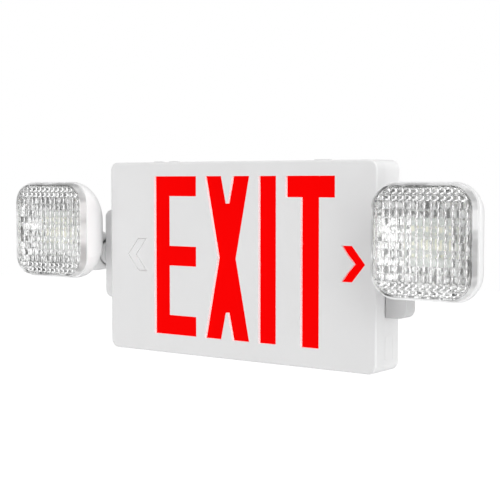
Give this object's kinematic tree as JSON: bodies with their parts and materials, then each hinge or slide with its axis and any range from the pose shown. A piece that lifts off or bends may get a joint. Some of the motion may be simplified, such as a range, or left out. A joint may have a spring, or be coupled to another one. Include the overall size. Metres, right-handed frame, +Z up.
{
  "type": "emergency exit light",
  "caption": "Wall-mounted exit sign housing with stencilled legend, glowing panel and two adjustable square lamp heads on side brackets.",
  "frame": {"origin": "centre of the housing's back face, on the wall plane", "axes": "+X along the legend to the right as seen from the front, +Y into the wall, +Z up"},
  "size_m": [0.516, 0.07, 0.1858],
  "materials": {
    "housing_white": "fine texture",
    "red_acrylic": "translucent, glowing",
    "tray_white": "gloss",
    "board_white": "solder mask",
    "board_green": "solder mask",
    "led_body": "phosphor dome",
    "screw_steel": "zinc plated",
    "transformer_steel": "varnished laminations",
    "capacitor_sleeve": "printed sleeve",
    "terminal_plastic": "moulded",
    "battery_sleeve": "shrink sleeve",
    "strap_steel": "zinc plated",
    "button_red": "gloss",
    "spring_steel": "drawn wire",
    "indicator_red": "clear red",
    "collar_plastic": "moulded nylon",
    "head_white": "satin",
    "dish_chrome": "metallised",
    "lens_clear": "clear prismatic polycarbonate"
  },
  "bodies": {
    "housing": {"back_housing": "housing_white", "face_cover": "housing_white", "red_diffuser": "red_acrylic", "light_tray": "tray_white", "led_strip_top": "board_white", "led_strip_bottom": "board_white", "sign_leds": "led_body", "charger_board": "board_green", "board_screws": "screw_steel", "transformer": "transformer_steel", "capacitors": "capacitor_sleeve", "terminal_block": "terminal_plastic", "battery_pack": "battery_sleeve", "battery_strap": "strap_steel", "strap_screws": "screw_steel", "test_switch": "terminal_plastic", "button_spring": "spring_steel", "charge_indicator": "indicator_red", "right_ear_bracket": "housing_white", "right_ear_screws": "screw_steel", "left_ear_bracket": "housing_white", "left_ear_screws": "screw_steel"},
    "button": {"test_button": "button_red"},
    "right_collar": {"right_tilt_collar": "collar_plastic", "right_pan_pin": "screw_steel", "right_tilt_washer": "screw_steel", "right_tilt_nut": "screw_steel"},
    "right_head": {"right_head_shell": "head_white", "right_head_reflector": "dish_chrome", "right_head_lens": "lens_clear", "right_lamp_board": "board_white", "right_lamp_leds": "led_body", "right_lamp_screws": "screw_steel"},
    "left_collar": {"left_tilt_collar": "collar_plastic", "left_pan_pin": "screw_steel", "left_tilt_washer": "screw_steel", "left_tilt_nut": "screw_steel"},
    "left_head": {"left_head_shell": "head_white", "left_head_reflector": "dish_chrome", "left_head_lens": "lens_clear", "left_lamp_board": "board_white", "left_lamp_leds": "led_body", "left_lamp_screws": "screw_steel"}
  },
  "joints": [
    {"name": "right_tilt", "type": "hinge", "parent": "housing", "child": "right_collar", "pos_m": [0.1737, -0.01635, 0.0005], "axis": [1, 0, 0], "range_deg": [-3, 35]},
    {"name": "right_pan", "type": "hinge", "parent": "right_collar", "child": "right_head", "pos_m": [0.18, -0.01635, 0.0005], "axis": [0, 0, 1], "range_deg": [-5, 10]},
    {"name": "left_tilt", "type": "hinge", "parent": "housing", "child": "left_collar", "pos_m": [-0.1737, -0.01635, 0.0005], "axis": [1, 0, 0], "range_deg": [-3, 35]},
    {"name": "left_pan", "type": "hinge", "parent": "left_collar", "child": "left_head", "pos_m": [-0.18, -0.01635, 0.0005], "axis": [0, 0, -1], "range_deg": [-5, 10]},
    {"name": "test_press", "type": "slide", "parent": "housing", "child": "button", "axis": [0, 0, 1], "range_m": [0, 0.0018], "stiffness_N_per_m": 300, "springref_m": -0.001, "deforming": ["button_spring"]}
  ]
}
